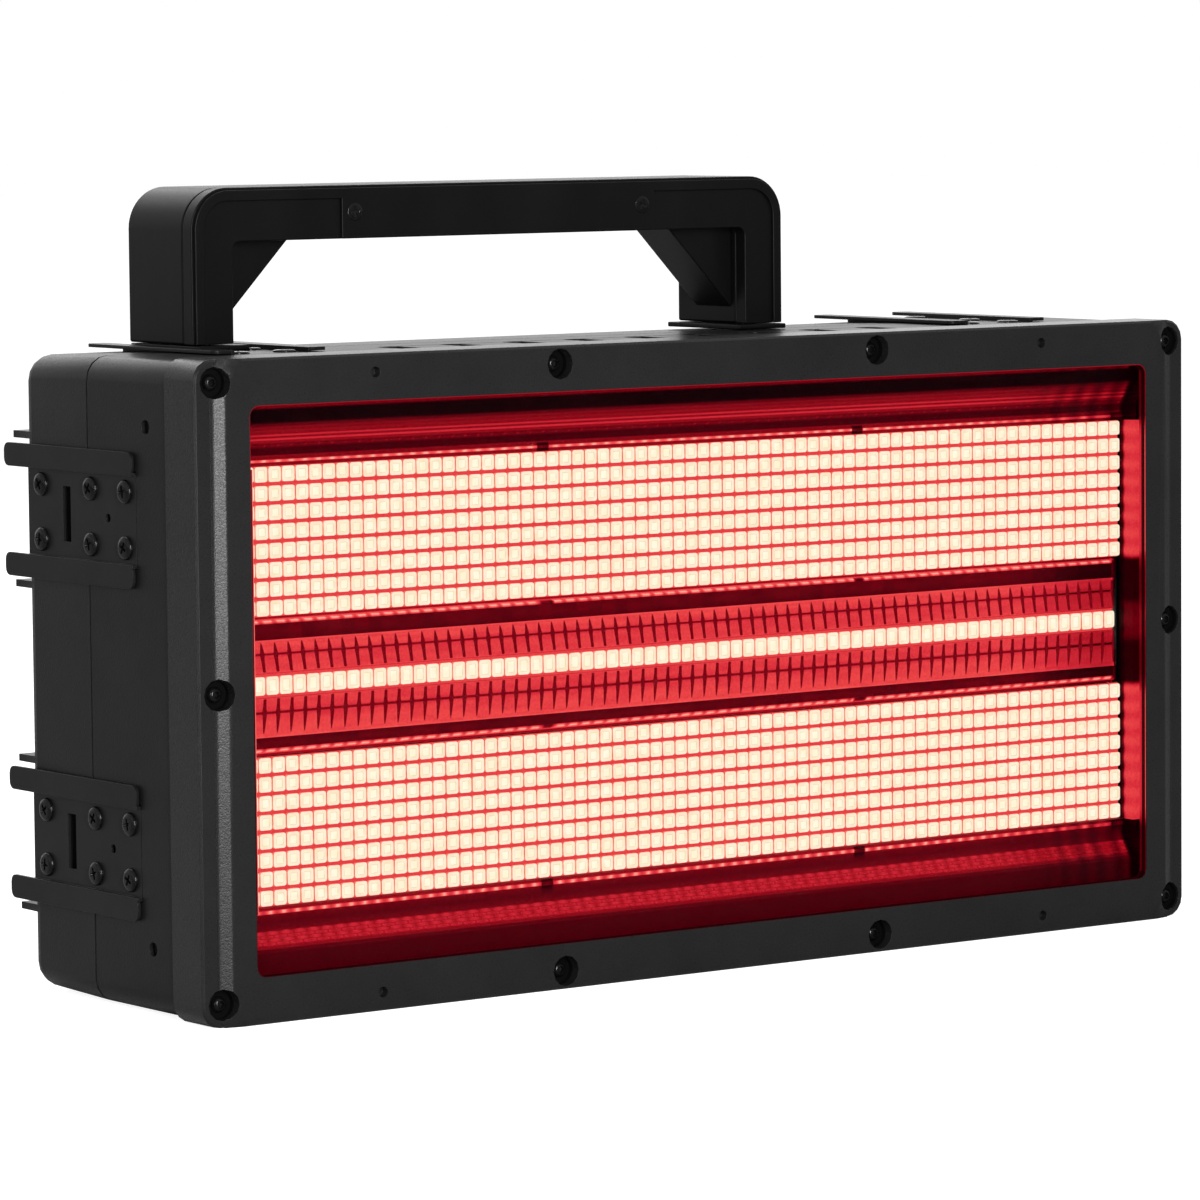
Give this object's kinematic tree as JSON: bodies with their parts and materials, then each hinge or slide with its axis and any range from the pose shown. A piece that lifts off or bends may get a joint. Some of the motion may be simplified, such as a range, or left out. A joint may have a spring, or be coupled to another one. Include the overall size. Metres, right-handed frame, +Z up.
{
  "type": "strobe light",
  "caption": "Wide LED strobe light: banded LED field behind a lens in a deep bolted housing, with rigging brackets on its sides and top, an off-centre handle, rear fans, keys and sockets",
  "frame": {"origin": "on the surface that the light stands on, under the middle of its bounding box", "axes": "+X to the right seen from the front, +Y to the rear, +Z up"},
  "size_m": [0.4222, 0.1212, 0.2698],
  "materials": {
    "housing_paint": "fine matt charcoal powder coat",
    "bezel_paint": "satin charcoal powder coat",
    "bracket_paint": "satin black painted steel",
    "handle_plastic": "satin black glass-filled plastic",
    "screw_black": "glossy black oxide",
    "lens_clear": "clear polished polycarbonate",
    "seal_rubber": "matt black foam rubber",
    "frame_black": "gloss black plastic",
    "board_lit": "rows of white LED packages on a printed board",
    "reflector_red": "metallised facets that shine red in the red light",
    "bare_aluminium": "bare extruded aluminium",
    "supply_steel": "plain zinc-plated sheet",
    "circuit_green": "green solder mask",
    "fan_plastic": "plain black moulding",
    "guard_steel": "black coated wire",
    "display_glass": "dark glossy display window",
    "button_grey": "grey rubber key",
    "power_blue": "blue moulded power socket",
    "power_grey": "grey moulded power socket",
    "data_nickel": "satin nickel die-cast shell",
    "foot_rubber": "matt black rubber"
  },
  "bodies": {
    "chassis": {"front_bezel": "bezel_paint", "bezel_screw_1": "screw_black", "bezel_screw_2": "screw_black", "bezel_screw_3": "screw_black", "bezel_screw_4": "screw_black", "bezel_screw_5": "screw_black", "bezel_screw_6": "screw_black", "bezel_screw_7": "screw_black", "bezel_screw_8": "screw_black", "bezel_screw_9": "screw_black", "bezel_screw_10": "screw_black", "lens": "lens_clear", "lens_gasket": "seal_rubber", "inner_frame": "frame_black", "led_board_top": "board_lit", "led_board_bottom": "board_lit", "led_board_center": "board_lit", "reflector_top": "reflector_red", "reflector_bottom": "reflector_red", "heat_sink": "bare_aluminium", "front_housing": "housing_paint", "housing_gasket": "seal_rubber", "rear_cover": "housing_paint", "bracket_left_lower": "bracket_paint", "bracket_left_upper": "bracket_paint", "bracket_right_lower": "bracket_paint", "bracket_right_upper": "bracket_paint", "bracket_top_left": "bracket_paint", "bracket_top_right": "bracket_paint", "handle_frame": "handle_plastic", "handle_face": "handle_plastic", "handle_foot_left": "handle_plastic", "handle_foot_right": "handle_plastic", "handle_screw_left": "screw_black", "handle_screw_right": "screw_black", "fan_left_frame": "fan_plastic", "fan_left_guard": "guard_steel", "fan_right_frame": "fan_plastic", "fan_right_guard": "guard_steel", "control_panel": "housing_paint", "display_window": "display_glass", "control_board": "circuit_green", "power_in": "power_blue", "power_out": "power_grey", "data_in": "data_nickel", "data_out": "data_nickel", "driver_board": "circuit_green", "power_supply": "supply_steel", "foot_left_front": "foot_rubber", "foot_left_rear": "foot_rubber", "foot_right_front": "foot_rubber", "foot_right_rear": "foot_rubber"},
    "fan_left_rotor": {"fan_left_rotor": "fan_plastic"},
    "fan_right_rotor": {"fan_right_rotor": "fan_plastic"},
    "button_menu": {"button_menu": "button_grey"},
    "button_down": {"button_down": "button_grey"},
    "button_up": {"button_up": "button_grey"},
    "button_enter": {"button_enter": "button_grey"},
    "data_out_latch": {"data_out_latch": "screw_black"}
  },
  "joints": [
    {"name": "fan_left_spin", "type": "hinge", "parent": "chassis", "child": "fan_left_rotor", "pos_m": [-0.14, 0.03865, 0.128], "axis": [0, 1, 0], "continuous": true},
    {"name": "fan_right_spin", "type": "hinge", "parent": "chassis", "child": "fan_right_rotor", "pos_m": [0.14, 0.03865, 0.128], "axis": [0, 1, 0], "continuous": true},
    {"name": "button_menu_press", "type": "slide", "parent": "chassis", "child": "button_menu", "axis": [0, -1, 0], "range_m": [0, 0.001], "stiffness_N_per_m": 600, "springref_m": -0.0005},
    {"name": "button_down_press", "type": "slide", "parent": "chassis", "child": "button_down", "axis": [0, -1, 0], "range_m": [0, 0.001], "stiffness_N_per_m": 600, "springref_m": -0.0005},
    {"name": "button_up_press", "type": "slide", "parent": "chassis", "child": "button_up", "axis": [0, -1, 0], "range_m": [0, 0.001], "stiffness_N_per_m": 600, "springref_m": -0.0005},
    {"name": "button_enter_press", "type": "slide", "parent": "chassis", "child": "button_enter", "axis": [0, -1, 0], "range_m": [0, 0.001], "stiffness_N_per_m": 600, "springref_m": -0.0005},
    {"name": "data_out_latch_press", "type": "slide", "parent": "chassis", "child": "data_out_latch", "axis": [0, -1, 0], "range_m": [0, 0.0008], "stiffness_N_per_m": 600, "springref_m": -0.0005}
  ]
}
